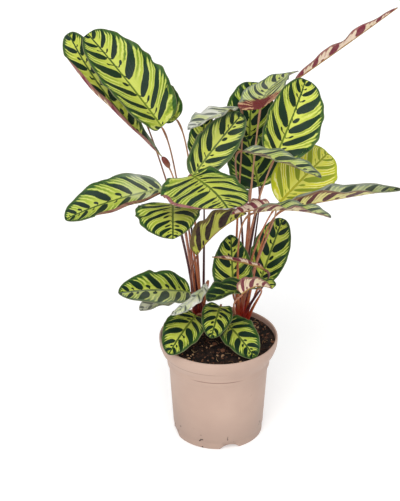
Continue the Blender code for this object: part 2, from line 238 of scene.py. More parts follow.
# How each leaf is coloured and finished. pairs is about how many dark ovals stand on each side, tone runs
# from deep green at 0 or less to pale yellow at 1, edge widens the green margin, and the painted sheen (a
# whitish reflection painted where the blade is seen at a grazing angle) fades out at its end share along the
# blade or keeps to one side. Each roll curls a margin up: its side, where it starts and ends along the blade,
# how far it turns, and how much of the half it takes. scallop bulges the outline at each vein, and knob
# swells the stalk's top.
usualLook = {
    "pairs": 5.6, "tone": 0.5, "paintedSheen": 0.0, "ovals": 1.0, "edge": 1.0, "pink": 0.0, "dry": 0.0,
    "paintedSheenEnd": 2.0, "paintedSheenSide": None, "ruffle": 1.3, "scallop": 0.012, "rolls": [], "knob": 0,
}
looks = {
    "top_left": {"pairs": 7.2, "ruffle": 2.6, "edge": 1.1, "scallop": 0.03},
    "top_left_outer": {"pairs": 7, "tone": 0.6, "paintedSheen": 0.4, "paintedSheenEnd": 0.3, "pink": 0.8,
                       "rolls": [(0, 0.1, 0.85, 170, 0.34)], "knob": 3.6},
    "top_left_inner": {"pairs": 5, "tone": 0.4},
    "top_left_hidden": {"pairs": 5, "tone": 0.2},
    "crown_right": {"pairs": 8, "tone": 0.45, "paintedSheen": 0.3, "dry": 1.0, "edge": 0.6},
    "crown_left": {"pairs": 6, "tone": 0.4, "paintedSheen": 1.0},
    "crown_back": {"pairs": 5.5, "tone": 0.15, "ovals": 1.45},
    "tall_middle": {"pairs": 6, "tone": 0.75, "ovals": 1.15, "paintedSheen": 0.08, "edge": 1.3},
    "tall_middle_back": {"pairs": 5, "tone": 0.6},
    "right_large": {"pairs": 6, "tone": 0.75, "ovals": 1.15, "edge": 0.8},
    "centre_broad": {"pairs": 7.4, "pink": 1.0, "edge": 1.1,
                     "rolls": [(1, 0.45, 1.0, 200, 0.09), (0, 0.7, 1.0, 190, 0.08)]},
    "left_drooping": {"pairs": 6.4, "tone": 0.4, "ovals": 1.1, "edge": 1.1, "scallop": 0.03},
    "far_left": {"pairs": 6.4, "tone": 0.25, "paintedSheen": 0.6, "paintedSheenEnd": 0.45, "pink": 0.45,
                 "rolls": [(0, 0.0, 0.75, 200, 0.18)]},
    "low_left": {"pairs": 5.6, "tone": 0.25, "ovals": 1.1, "paintedSheen": 0.22, "paintedSheenSide": 0, "scallop": 0.025},
    "low_left_under": {"pairs": 5, "tone": 0.2, "paintedSheen": 0.8},
    "low_left_edge": {"pairs": 4, "tone": 0.2, "paintedSheen": 1.0, "ovals": 0.35},
    "rim_left": {"pairs": 5.4, "tone": 0.45, "ovals": 1.15, "edge": 1.1},
    "rim_middle": {"pairs": 5.2, "tone": 0.5, "ovals": 1.15, "edge": 1.0},
    "rim_right": {"pairs": 5.4, "tone": 0.4, "ovals": 1.2, "edge": 1.3},
    "centre_raised": {"pairs": 4.6, "ovals": 1.25, "edge": 1.3},
    "centre_curled": {"pairs": 4, "paintedSheen": 0.5, "pink": 0.9, "ovals": 0.8},
    "far_right": {"pairs": 7, "tone": 0.4, "paintedSheen": 0.5, "pink": 0.3},
    "right_low": {"pairs": 6, "tone": 0.4, "paintedSheen": 0.3, "pink": 0.6},
    "yellow_new": {"pairs": 6, "ovals": 0.9, "scallop": 0.03},
    # centre_dark's deep tone is painted shade, for the shade inside the clump where this leaf stands.
    "centre_dark": {"pairs": 5, "tone": 0.0, "ovals": 1.75, "edge": 1.4},
    "right_level": {"pairs": 6, "tone": 0.3, "paintedSheen": 0.3, "pink": 0.3},
    "low_right": {"pairs": 5.4, "tone": 0.5, "ovals": 1.3, "edge": 0.8},
    "low_centre": {"pairs": 4.8, "tone": 0.55, "ovals": 1.2, "edge": 1.0},
    "low_rolled": {"pairs": 3.6, "pink": 0.8, "ovals": 0.8},
    "low_dark": {"pairs": 6, "tone": -0.3, "ovals": 1.85, "edge": 1.7},
    "spear": {"pairs": 6, "tone": 0.6, "paintedSheen": 0.4, "pink": 0.9},
    "low_edge": {"pairs": 5, "tone": 0.3, "paintedSheen": 0.5, "pink": 0.9},
}

bladeForm = {
    "across": 40, "along": 72, "thickness": 0.6, "endHalf": 1.1,
    "fullEdgeWidth": 46, "pleat": 0.35, "groove": 0.45, "grooveWidth": 1.6, "outlineWobble": 0.04,
    "wobblePlace": (11, 5, 7), "leastFineness": 0.45, "finenessWidth": 110,
}
veinForm = {"sweep": (0.62, 0.2, 0.45), "leastReach": 0.85, "crowding": 0.4, "start": 0.7}


def faceVector(face):
    compass, height = (math.radians(angle) for angle in face)
    level = math.cos(height)
    return Vector((math.sin(compass) * level, -math.cos(compass) * level, math.sin(height)))


# the midrib's place, and the directions along it, to the right and up from the upper side
def bladeFrame(spec, along):
    chord = spec["tip"] - spec["base"]
    way = chord.normalized()
    up = faceVector(spec["face"])
    up = (up - way * up.dot(way)).normalized()
    bend = up * spec["arch"] + way.cross(up) * spec["sway"]
    middle = spec["base"] + chord * along + bend * 4 * along * (1 - along)
    tangent = (chord + bend * 4 * (1 - 2 * along)).normalized()
    up = (up - tangent * up.dot(tangent)).normalized()
    turn = math.radians(spec["twist"]) * (along - 0.5)
    up = up * math.cos(turn) + tangent.cross(up) * math.sin(turn)
    return middle, tangent, tangent.cross(up), up


def halfSection(share, fold, curl):
    start = math.radians(fold)
    bend = math.radians(curl)
    if abs(bend) < 0.001:
        return share * math.cos(start), share * math.sin(start)
    end = start + bend * share
    return (math.sin(end) - math.sin(start)) / bend, (math.cos(start) - math.cos(end)) / bend


# the half's section with its outer part rolled up by an angle
def rolledSection(share, fold, curl, roll, start):
    if roll < 0.01 or share <= start:
        return halfSection(share, fold, curl)
    out, rise = halfSection(start, fold, curl)
    heading = math.radians(fold + curl * start)
    tightness = roll / (1 - start)
    angle = heading + tightness * (share - start)
    out += (math.sin(angle) - math.sin(heading)) / tightness
    rise += (math.cos(heading) - math.cos(angle)) / tightness
    return out, rise


# how far the margin is rolled here, and where across the half the roll starts
def rollAt(look, side, along):
    for rollSide, start, end, degrees, part in look["rolls"]:
        if rollSide == side and start < along < end:
            inside = (along - start) / (end - start)
            return math.radians(degrees) * math.sin(math.pi * inside) ** 0.5, 1 - part
    return 0, 1


def halfWidthAt(spec, side, along):
    shape = math.sin(math.pi * along ** spec["belly"]) ** spec["blunt"] if 0 < along < 1 else 0
    return max(spec["width"] / 2 * spec["sides"][side] * shape, bladeForm["endHalf"])


# Which side vein a point lies on, counted from the blade's foot. The veins sweep towards the tip, and they
# stand closer together at both ends.
def veinNumber(spec, look, share, side, along, halfWidth):
    length = (spec["tip"] - spec["base"]).length
    first, second, fourth = veinForm["sweep"]
    reach = halfWidth / length * (first * share + second * share**2 + fourth * share**4) + 0.0001
    reach = (reach**-3 + (veinForm["leastReach"] * along + 0.001) ** -3) ** (-1 / 3)
    foot = along - reach
    crowding = veinForm["crowding"] * math.sin(2 * math.pi * foot) / (2 * math.pi)
    shift = 0.5 * ((look["shift"] + 0.5 * side) % 1)
    return look["pairs"] * (foot + crowding) + veinForm["start"] + shift


def bladePoint(spec, look, across, along):
    middle, tangent, right, up = bladeFrame(spec, along)
    side = 1 if across > 0 else 0
    sign = 1 if side else -1
    share = abs(across)
    halfWidth = halfWidthAt(spec, side, along)
    vein = veinNumber(spec, look, share, side, along, halfWidth)
    stretch = bladeForm["wobblePlace"]
    wobble = noise.noise(Vector((along * stretch[0], side * stretch[1], look["shift"] * stretch[2])))
    out, rise = rolledSection(share, spec["fold"][side], spec["curl"][side], *rollAt(look, side, along))
    bulge = look["scallop"] * math.cos(2 * math.pi * vein)
    out *= 1 + (bladeForm["outlineWobble"] * wobble + bulge * math.sin(math.pi * along)) * share
    ends = math.sin(math.pi * along)
    lift = spec["wave"] * share**2 * math.sin(2 * math.pi * (spec["waves"] * along + 0.3 * side)) * ends
    lift += look["ruffle"] * wobble * share**3 * ends
    lift += bladeForm["pleat"] * math.cos(2 * math.pi * vein) * min(1, share * 5) * (1 - share**4) * ends
    lift -= bladeForm["groove"] * math.exp(-((share * halfWidth / bladeForm["grooveWidth"]) ** 2)) * ends
    lobe = spec["cup"] * share**1.5 * (1 - along) ** 3 * min(1, along * 9)
    place = middle + right * (sign * out * halfWidth) + up * (rise * halfWidth + lift + lobe)
    return place - tangent * lobe * 0.3, vein, halfWidth


def makeBlade(name, spec, look, materials):
    form = bladeForm
    shape = bmesh.new()
    uvLayer = shape.loops.layers.uv.new("UVMap")
    painted = ("tone", "paintedSheen", "ovals", "edge", "pink", "dry", "shift")
    layers = {key: shape.verts.layers.float.new(key) for key in ("vein", "halfWidth", *painted)}
    fine = min(1, form["leastFineness"] + spec["width"] / form["finenessWidth"])
    bmesh.ops.create_grid(shape, x_segments=2 * round(form["across"] * fine / 2),
                          y_segments=round(form["along"] * fine), size=1)
    flat = {}
    for vertex in shape.verts:
        even = (vertex.co.y + 1) / 2
        across = vertex.co.x * (1.35 - 0.35 * vertex.co.x**2)
        along = 0.6 * even + 0.2 * (1 - math.cos(math.pi * even))
        flat[vertex] = ((across + 1) / 2, along)
        place, vein, halfWidth = bladePoint(spec, look, across, along)
        vertex.co = place * mm
        vertex[layers["vein"]] = vein
        vertex[layers["halfWidth"]] = halfWidth
        for key in painted:
            vertex[layers[key]] = look[key]
        side = 1 if across > 0 else 0
        # The painted sheen: a whitish reflection painted into the colour where the blade is seen at a grazing
        # angle, fading out along the blade or kept to one side.
        paintedSheen = look["paintedSheen"] * min(1, max(0, (look["paintedSheenEnd"] - along) / 0.3))
        vertex[layers["paintedSheen"]] = paintedSheen if look["paintedSheenSide"] in (None, side) else 0
        vertex[layers["edge"]] = look["edge"] * min(1, spec["width"] / form["fullEdgeWidth"])
    for face in shape.faces:
        for loop in face.loops:
            loop[uvLayer].uv = flat[loop.vert]
    pieceName = "blade" + "".join(word.capitalize() for word in name.split("_"))
    slot = "leaf_yellow" if name == "yellow_new" else "leaf"
    piece = addPiece(pieceName, shape, materials, "leaf_" + name)
    solid = piece.modifiers.new("Thickness", "SOLIDIFY")
    solid.thickness = form["thickness"] * mm
    solid.offset = 0
    solid.material_offset = 1
    return piece


# The whitish sheen colour in the upper tables is painted sheen, a reflection painted into the colour.
upperColours = {
    "deepGround": (124, 156, 40), "paleGround": (210, 218, 80), "cream": (234, 236, 140),
    "oval": (6, 36, 24), "ovalEdge": (26, 62, 30), "line": (70, 110, 30), "margin": (34, 80, 30),
    "midrib": (124, 144, 44), "midribTip": (38, 72, 30), "paintedSheen": (226, 226, 218), "dryBrown": (112, 40, 36),
}
underColours = {
    "ground": (196, 198, 82), "pinkGround": (232, 208, 188), "oval": (44, 20, 22), "pinkOval": (124, 44, 60),
    "line": (104, 80, 40), "pinkLine": (178, 112, 112), "margin": (84, 58, 34), "pinkMargin": (140, 70, 74),
    "midrib": (170, 130, 70),
}
yellowUpperColours = {
    "deepGround": (214, 206, 16), "paleGround": (224, 226, 66), "cream": (250, 250, 196),
    "oval": (134, 152, 34), "ovalEdge": (158, 168, 40), "line": (164, 168, 26), "margin": (186, 196, 40),
    "midrib": (196, 190, 50), "midribTip": (150, 160, 40), "paintedSheen": (240, 240, 200),
    "dryBrown": (112, 40, 36),
}
yellowUnderColours = {
    "ground": (204, 192, 40), "pinkGround": (224, 216, 96), "oval": (150, 136, 20),
    "pinkOval": (150, 140, 30), "line": (170, 160, 30), "pinkLine": (180, 176, 50),
    "margin": (170, 158, 24), "pinkMargin": (180, 172, 44), "midrib": (200, 190, 80),
}

# Pairs of numbers are the least value and the random part that is added to it, or where a soft edge
# starts and ends.
markings = {
    "wander": 0.14, "fineWander": 0.04, "ovalStart": (0.04, 0.05), "ovalEnd": (0.84, 0.12),
    "ovalHalf": (0.2, 0.07), "ovalFullness": 1.84, "dotPlace": (0.15, 0.08), "dotSize": (0.045, 0.06),
    "dotStretch": 1.25, "dotsAbove": 0.25, "linesPerVein": 4, "lineStart": (0.1, 0.5), "lineGrowth": 0.3,
    "lineDepth": (0.3, 0.7), "band": (4.2, 2.2), "midrib": (1.8, 1.1),
}


# a value within a pair's range, from a random share
def ranged(key, share):
    least, spread = markings[key]
    return least + share * spread


# The leaf's drawing as masks: ovals with stems and thin tails along every side vein, round dots between
# them near the midrib, fine lines that grow outwards, the toothed margin band and the midrib.
def leafDrawing(recipe):
    flat = recipe.node("UVMap", {"uv_map": "UVMap"}, {}).outputs[0]
    parts = recipe.node("SeparateXYZ", {}, {"Vector": flat})
    across = Wire(recipe, parts.outputs[0]) * 2 - 1
    along = Wire(recipe, parts.outputs[1])
    share = abs(across)
    side = across > 0
    place = recipe.place()
    wander = recipe.noise(place, 70, 1.5) - 0.5
    fineWander = recipe.noise(place, 260, 2) - 0.5
    shift = recipe.attribute("shift")
    plump = recipe.attribute("ovals")
    halfWidth = recipe.attribute("halfWidth")
    vein = recipe.attribute("vein") + wander * markings["wander"] + fineWander * markings["fineWander"]
    cell = recipe.maths("FLOOR", vein)
    aside = abs(vein - cell - 0.5)
    first, second, third = recipe.chances(recipe.vector(cell, side, shift))
    start = ranged("ovalStart", first)
    end = ranged("ovalEnd", second)
    reach = recipe.maths("MAXIMUM", recipe.maths("MINIMUM", (share - start) / (end - start), 1), 0)
    thick = plump * ranged("ovalHalf", third) * markings["ovalFullness"] * reach**0.4 * (1 - reach) ** 0.5
    oval = recipe.step(thick - aside + fineWander * 0.03, -0.015, 0.02)
    tail = recipe.step(aside, 0.07, 0.02) * recipe.step(share, end - 0.3, end - 0.1) * 0.8
    stem = recipe.step(aside, 0.06, 0.03) * recipe.step(share, start + 0.08, start + 0.02)

    between = vein + 0.5
    betweenCell = recipe.maths("FLOOR", between)
    betweenAside = abs(between - betweenCell - 0.5)
    size, far, there = recipe.chances(recipe.vector(betweenCell, side, shift + 7.3))
    dotPlace = ranged("dotPlace", far)
    dotSize = ranged("dotSize", size)
    dotLength = dotSize * markings["dotStretch"]
    roundness = ((betweenAside / dotLength) ** 2 + (abs(share - dotPlace) / dotSize) ** 2) ** 0.5
    shown = there > markings["dotsAbove"]
    dot = recipe.step(roundness, 1.12, 0.85) * shown
    dotStem = recipe.step(betweenAside, 0.045, 0.02) * recipe.step(share, dotPlace, dotPlace - 0.03) * shown

    ripples = markings["linesPerVein"]
    ripple = recipe.maths("COSINE", vein * (2 * math.pi * ripples) + math.pi + fineWander * 3)
    lineCell = recipe.maths("FLOOR", vein * ripples)
    lineStart, lineDepth, _ = recipe.chances(recipe.vector(lineCell, side, shift + 3.1))
    lineStart = ranged("lineStart", lineStart)
    grown = recipe.step(share + fineWander * 0.3, lineStart, lineStart + markings["lineGrowth"])
    line = recipe.step(ripple, 0.1, 0.8) * grown * ranged("lineDepth", lineDepth)
    pale = recipe.step(ripple, -0.2, -0.8) * recipe.step(share, 0.15, 0.5)
    marginDepth = (1 - share) * halfWidth / recipe.attribute("edge")
    teeth = (ripple + 1) * 1.4 + wander * 4
    band = recipe.step(marginDepth - teeth, *markings["band"])
    fromMidrib = share * halfWidth
    midrib = recipe.step(fromMidrib + fineWander * 1.2 + along * 0.5, *markings["midrib"])
    return {
        "share": share, "along": along, "wander": wander, "fineWander": fineWander,
        "dark": recipe.largest(oval, stem, dot, dotStem), "tail": tail, "line": line, "band": band,
        "pale": pale, "midrib": midrib, "chance": third, "place": place,
        "edge": recipe.step(marginDepth, 0.9, 0.3),
    }


def leafHeight(recipe, drawing):
    veins = recipe.maths("COSINE", recipe.attribute("vein") * (2 * math.pi * 15))
    return veins * 0.3 + drawing["fineWander"] * 0.5 + recipe.noise(drawing["place"], 1400, 1) * 0.35


def upperMaterial(name, tones):
    recipe = Recipe(name, {"Specular IOR Level": 0.22})
    drawing = leafDrawing(recipe)
    share = drawing["share"]
    paleness = recipe.attribute("tone") + drawing["wander"] * 0.4 + 0.3 - share * 0.45
    ground = recipe.mix(paleness, tones["deepGround"], tones["paleGround"])
    ground = recipe.mix(recipe.step(share + drawing["wander"] * 0.3, 0.4, 0.0) * 0.25, ground, tones["cream"])
    ground = recipe.mix(drawing["pale"] * 0.55, ground, tones["cream"])
    ground = recipe.mix(drawing["line"] * 0.9, ground, tones["line"])
    ground = recipe.mix(drawing["band"] * 0.92, ground, tones["margin"])
    oval = recipe.mix(drawing["chance"] * 0.3 + recipe.step(share, 0.3, 0.9) * 0.5,
                      tones["oval"], tones["ovalEdge"])
    painted = recipe.mix(drawing["tail"], ground, tones["ovalEdge"])
    painted = recipe.mix(drawing["dark"], painted, oval)
    midrib = recipe.mix(drawing["along"], tones["midrib"], tones["midribTip"])
    painted = recipe.mix(drawing["midrib"], painted, midrib)
    # Painted sheen: a whitish reflection painted in patches over the blade where it is seen at a grazing
    # angle, weaker over the dark ovals.
    cloud = recipe.step(recipe.noise(drawing["place"], 45, 2), 0.35, 0.65)
    paintedSheen = recipe.attribute("paintedSheen") * (0.35 + cloud * 0.6)
    painted = recipe.mix(paintedSheen * (1 - drawing["dark"] * 0.7), painted, tones["paintedSheen"])
    painted = recipe.mix(drawing["edge"] * 0.5, painted, (150, 140, 110))
    dry = recipe.attribute("dry") * recipe.step(drawing["along"] + drawing["fineWander"] * 0.1, 0.24, 0.17)
    streak = recipe.largest(drawing["line"], drawing["pale"]) + drawing["fineWander"]
    streak = recipe.mix(recipe.step(streak, 0.6, 0.85), tones["dryBrown"], (206, 160, 120))
    painted = recipe.mix(dry, painted, streak)
    roughness = 0.36 + drawing["fineWander"] * 0.15
    return recipe.finish(painted, roughness, leafHeight(recipe, drawing), 0.3 * mm, 0.7)


def underMaterial(name, tones):
    recipe = Recipe(name, {"Specular IOR Level": 0.28})
    drawing = leafDrawing(recipe)
    pink = recipe.attribute("pink") + drawing["wander"] * 0.5
    ground = recipe.mix(pink, tones["ground"], tones["pinkGround"])
    line = recipe.mix(pink, tones["line"], tones["pinkLine"])
    ground = recipe.mix(drawing["line"] * 0.7, ground, line)
    margin = recipe.mix(pink, tones["margin"], tones["pinkMargin"])
    ground = recipe.mix(drawing["band"] * 0.85, ground, margin)
    oval = recipe.mix(pink, tones["oval"], tones["pinkOval"])
    blotch = recipe.largest(drawing["dark"] * (0.98 + drawing["fineWander"] * 0.2), drawing["tail"])
    painted = recipe.mix(blotch, ground, oval)
    painted = recipe.mix(drawing["midrib"], painted, tones["midrib"])
    roughness = 0.45 + drawing["fineWander"] * 0.1
    return recipe.finish(painted, roughness, leafHeight(recipe, drawing), 0.3 * mm, 0.7)


def makeBlades():
    green = [upperMaterial("leafUpper", upperColours), underMaterial("leafUnder", underColours)]
    yellow = [upperMaterial("leafYellowUpper", yellowUpperColours),
              underMaterial("leafYellowUnder", yellowUnderColours)]
    for number, (name, spec) in enumerate(blades.items()):
        look = {**usualLook, "shift": 0.37 * number % 1, **looks[name]}
        makeBlade(name, spec, look, yellow if name == "yellow_new" else green)
    print("leaves made:", len(blades))


# Stalks: one tube for each leaf, on the solids' own routes.
stalkForm = {
    "soilTop": 121, "footDepth": 6, "riseShare": 0.55, "leanShare": 0.28, "jointGap": 0.3, "pulvinus": 16,
    "steps": 44, "sides": 12, "footRadius": 2.0, "topRadius": 0.95, "pulvinusRadius": 1.4,
    "sheathHeight": 70, "sheathRadius": 2.5, "nextTurn": 2.4,
}
scaleForm = {
    "count": 6, "firstTurn": 1.1, "depth": 5, "out": (0.55, 0.8), "height": (14, 34), "usualClump": 13,
    "lean": (-0.15, 0.02), "shares": (0, 0.15, 0.3, 0.5, 0.7, 0.85, 0.95, 1),
    "radii": (2.6, 2.7, 2.6, 2.3, 1.8, 1.2, 0.7, 0.25), "sides": 10,
}
clumps = {
    "left": {"place": (-22, 33), "radius": 13, "warmth": 0.15},
    "right": {"place": (26, 34), "radius": 13, "warmth": 0.75},
    "front": {"place": (-4, 8), "radius": 8, "warmth": 0.45},
}


def stalkRoute(spec, number, count, steps):
    form = stalkForm
    clump = clumps[spec["clump"]]
    end, tangent, _, _ = bladeFrame(spec, 0)
    end = end - tangent * form["jointGap"]
    place = clump["place"]
    lean = Vector((end.x - place[0], end.y - place[1], 0))
    spread = clump["radius"] * 0.55 * math.sqrt((number + 0.5) / count)
    foot = Vector((place[0], place[1], form["soilTop"] - form["footDepth"]))
    turn = number * form["nextTurn"]
    foot += Vector((math.cos(turn), math.sin(turn), 0)) * spread
    height = end.z - foot.z
    rise = foot + lean * form["leanShare"] + Vector((0, 0, height * form["riseShare"])) + spec["bow"]
    turnIn = end - tangent * min(form["pulvinus"] * 1.6, height * 0.4)
    route = []
    for step in range(steps + 1):
        share = step / steps
        rest = 1 - share
        lower = foot * rest**3 + rise * 3 * share * rest**2
        route.append(lower + turnIn * 3 * share**2 * rest + end * share**3)
    return route


# how thick the stalk is: a sheath at the foot, a slim stem, and the swelling under the blade
def stalkRadius(lengthUp, fromEnd, whole, knob):
    form = stalkForm
    slim = form["footRadius"] + (form["topRadius"] - form["footRadius"]) * min(1, lengthUp / whole * 1.3)
    sheathEnd = min(form["sheathHeight"], whole * 0.6)
    if lengthUp < sheathEnd:
        slim = max(slim, form["sheathRadius"] * (1 - 0.45 * lengthUp / sheathEnd))
    if fromEnd < form["pulvinus"]:
        swell = math.sin(math.pi * min(1, max(0, fromEnd / form["pulvinus"]))) ** 0.6
        slim += (max(form["pulvinusRadius"], knob) - slim) * swell
    return slim


def addTube(shape, route, radii, layers, values, sides):
    ring = bmesh.ops.create_circle(shape, cap_ends=True, segments=sides, radius=1)["verts"]
    edges = list({edge for vertex in ring for edge in vertex.link_edges})
    placed = Matrix.Identity(4)
    length = 0
    for step, place in enumerate(route):
        before = route[max(step - 1, 0)]
        after = route[min(step + 1, len(route) - 1)]
        length += (place - before).length
        turn = (after - before).to_track_quat("Z", "Y").to_matrix().to_4x4()
        target = Matrix.Translation(place * mm) @ turn @ Matrix.Scale(radii[step] * mm, 4)
        if step:
            made = bmesh.ops.extrude_edge_only(shape, edges=edges)["geom"]
            ring = [part for part in made if isinstance(part, bmesh.types.BMVert)]
            edges = [part for part in made if isinstance(part, bmesh.types.BMEdge)
                     and all(vertex in ring for vertex in part.verts)]
        bmesh.ops.transform(shape, matrix=target @ placed.inverted(), verts=ring)
        placed = target
        for vertex in ring:
            vertex[layers["up"]] = length
            for key, value in values.items():
                vertex[layers[key]] = value
    bmesh.ops.contextual_create(shape, geom=edges)


def stalkMaterial():
    recipe = Recipe("stalkSkin", {"Specular IOR Level": 0.4})
    up = recipe.attribute("up")
    warmth = recipe.attribute("warmth")
    chance = recipe.attribute("chance")
    place = recipe.place()
    mottle = recipe.noise(place, 160, 2) - 0.5
    grain = recipe.noise(place, 900, 2)
    foot = recipe.mix(warmth, (122, 20, 26), (206, 60, 38))
    foot = recipe.mix(recipe.step(grain, 0.5, 0.7) * 0.4, foot, (208, 96, 82))
    # Stalks with a low chance take a very dark maroon: partly the stalks' own maroon and partly painted shade
    # for stalks in the shade of the clump.
    middle = recipe.mix(recipe.step(chance, 0.25, 0.4), (76, 28, 34), (190, 108, 66))
    middle = recipe.mix(recipe.step(chance, 0.65, 0.85), middle, (186, 124, 98))
    top = recipe.mix(chance, (128, 84, 66), (192, 146, 108))
    painted = recipe.mix(recipe.step(up + mottle * 30, 22, 52), foot, middle)
    painted = recipe.mix(recipe.step(up + mottle * 60, 120, 240), painted, top)
    painted = recipe.mix(recipe.step(mottle, 0.08, 0.22) * 0.5, painted, (78, 34, 32))
    painted = recipe.mix(recipe.attribute("swollen") * 0.6, painted, (136, 84, 58))
    painted = recipe.mix(recipe.attribute("knob"), painted, (112, 44, 34))
    return recipe.finish(painted, 0.4 + mottle * 0.2, grain, 0.25 * mm, 0.5)


def makeStalks():
    material = stalkMaterial()
    form = stalkForm
    keys = ("up", "warmth", "chance", "swollen", "knob")
    for name, clump in clumps.items():
        shape = bmesh.new()
        layers = {key: shape.verts.layers.float.new(key) for key in keys}
        mine = [(leaf, spec) for leaf, spec in blades.items() if spec["clump"] == name]
        draws = random.Random(f"stalks {name}")
        for number, (leaf, spec) in enumerate(mine):
            knob = looks[leaf].get("knob", 0)
            route = stalkRoute(spec, number, len(mine), form["steps"])
            whole = sum((b - a).length for a, b in zip(route, route[1:]))
            lengthUp = 0
            radii = []
            for place, before in zip(route, route[:1] + route):
                lengthUp += (place - before).length
                radii.append(stalkRadius(lengthUp, whole - lengthUp, whole, knob))
            values = {"warmth": clump["warmth"] + draws.uniform(-0.2, 0.2), "chance": draws.random()}
            first = len(shape.verts)
            addTube(shape, route, radii, layers, values, form["sides"])
            shape.verts.ensure_lookup_table()
            for vertex in shape.verts[first:]:
                fromEnd = whole - vertex[layers["up"]]
                vertex[layers["swollen"]] = min(1, max(0, 1.3 - fromEnd / form["pulvinus"]))
                vertex[layers["knob"]] = vertex[layers["swollen"]] if knob else 0
        for number in range(scaleForm["count"]):
            addScale(shape, clump, layers, draws, number)
        addPiece(f"stalks{name.capitalize()}", shape, [material], f"stalks_{name}")
    print("stalks made:", len(clumps))


# a short pointed sheath that stands beside the clump's foot
def addScale(shape, clump, layers, draws, number):
    form = scaleForm
    turn = number * stalkForm["nextTurn"] + form["firstTurn"]
    way = Vector((math.cos(turn), math.sin(turn), 0))
    foot = Vector((*clump["place"], stalkForm["soilTop"] - form["depth"]))
    foot += way * clump["radius"] * draws.uniform(*form["out"])
    height = draws.uniform(*form["height"]) * clump["radius"] / form["usualClump"]
    lean = draws.uniform(*form["lean"])
    route = [foot + Vector((0, 0, height * share)) + way * height * lean * share for share in form["shares"]]
    values = {"warmth": clump["warmth"] + draws.uniform(-0.3, 0.2), "chance": draws.random(), "swollen": 0}
    addTube(shape, route, form["radii"], layers, values, form["sides"])


makeBlades()
makeStalks()


# Pot: a turned profile of radius and height, then drain notches lifted into the foot ring.
potForm = {
    "steps": 192, "wall": 1.6, "lipRadius": 70, "height": 127, "lipFoot": 114, "collarRadius": 61,
    "collarTop": 101, "collarFoot": 88, "wallTopRadius": 58.5, "footRadius": 53.4, "footLift": 7,
    "padRadius": 20, "padFootRadius": 28, "notches": 4, "notchWidth": 24, "notchHeight": 6.2,
    "firstNotch": -75, "ringDepth": 7.5, "wallHeights": (64, 38),
}


def wallRadius(height):
    form = potForm
    share = (height - form["footLift"]) / (form["collarFoot"] - form["footLift"])
    return form["footRadius"] + (form["wallTopRadius"] - form["footRadius"]) * share


def potProfile():
    form = potForm
    wall = form["wall"]
    lip = form["lipRadius"]
    collar = form["collarRadius"]
    innerFloor = form["footLift"] + wall
    foot = form["footRadius"]
    return [
        (0, wall),
        (form["padRadius"] - 1, wall),
        (form["padFootRadius"] - 1, innerFloor),
        (wallRadius(innerFloor) - wall, innerFloor),
        (wallRadius(form["collarFoot"]) - wall, form["collarFoot"]),
        (collar - wall, form["collarTop"]),
        (lip - 1.5 - wall, form["lipFoot"]),
        (lip - 2.7, form["height"] - 2),
        (lip - 2.3, form["height"] - 0.6),
        (lip - 1.4, form["height"]),
        (lip - 0.6, form["height"] - 0.4),
        (lip - 0.15, form["height"] - 1.4),
        (lip, form["height"] - 4),
        (lip - 0.35, form["height"] - 8),
        (lip - 0.7, form["lipFoot"] + 2.4),
        (lip - 1.4, form["lipFoot"] + 0.6),
        (lip - 3.2, form["lipFoot"] - 4.5),
        (collar + 1.6, form["collarTop"] + 2.5),
        (collar + 0.6, form["collarTop"]),
        (collar + 0.1, form["collarTop"] - 1.2),
        (collar - 0.1, form["collarTop"] - 3),
        (collar - 0.4, form["collarFoot"] + 4),
        (wallRadius(form["collarFoot"]) + 0.5, form["collarFoot"] + 1.2),
        (wallRadius(form["collarFoot"]), form["collarFoot"]),
        *((wallRadius(height), height) for height in form["wallHeights"]),
        (wallRadius(form["footLift"] + 5), form["footLift"] + 5),
        (foot - 0.1, form["footLift"] + 4.2),
        (foot - 0.7, form["footLift"] + 3.5),
        (foot - 0.7, 3.5),
        (foot - 0.8, 0.6),
        (foot - 1.5, 0),
        (foot - 4.6, 0),
        (foot - 5.2, 0.6),
        (foot - 7, form["footLift"]),
        (form["padFootRadius"], form["footLift"]),
        (form["padRadius"], 0),
        (0, 0),
    ]


def spinProfile(shape, profile, steps):
    points = [shape.verts.new((radius * mm, 0, height * mm)) for radius, height in profile]
    edges = [shape.edges.new(pair) for pair in zip(points, points[1:])]
    bmesh.ops.spin(shape, geom=points + edges, cent=(0, 0, 0), axis=(0, 0, 1), dvec=(0, 0, 0),
                   angle=2 * math.pi, steps=steps, use_merge=True, use_duplicate=False)
    bmesh.ops.remove_doubles(shape, verts=shape.verts, dist=0.02 * mm)
    bmesh.ops.recalc_face_normals(shape, faces=shape.faces)


# how far the foot ring's underside is lifted at a place by the nearest drain notch
def notchLift(place):
    form = potForm
    half = form["notchWidth"] / 2
    barRadius = (form["notchHeight"] ** 2 + half**2) / (2 * form["notchHeight"])
    best = 0
    for number in range(form["notches"]):
        angle = math.radians(form["firstNotch"] + number * 360 / form["notches"])
        along = place.x * math.cos(angle) + place.y * math.sin(angle)
        aside = (place.y * math.cos(angle) - place.x * math.sin(angle)) / mm
        if along > 0 and abs(aside) < half:
            best = max(best, math.sqrt(barRadius**2 - aside**2) + form["notchHeight"] - barRadius)
    return best * mm


# Pot colours. The low colour is painted shade: it darkens the wall towards the foot.
# The darker ring line colour and its heights paint shade along the two faint rings.
potFinish = {
    "front": (196, 168, 152), "patch": (186, 158, 143), "low": (164, 140, 127), "scuff": (156, 130, 116),
    "speck": (62, 48, 42), "seam": (142, 114, 102), "ringShadeHeight": 96.5, "upperRingShade": 110.5, "ringShadeFade": 34,
}


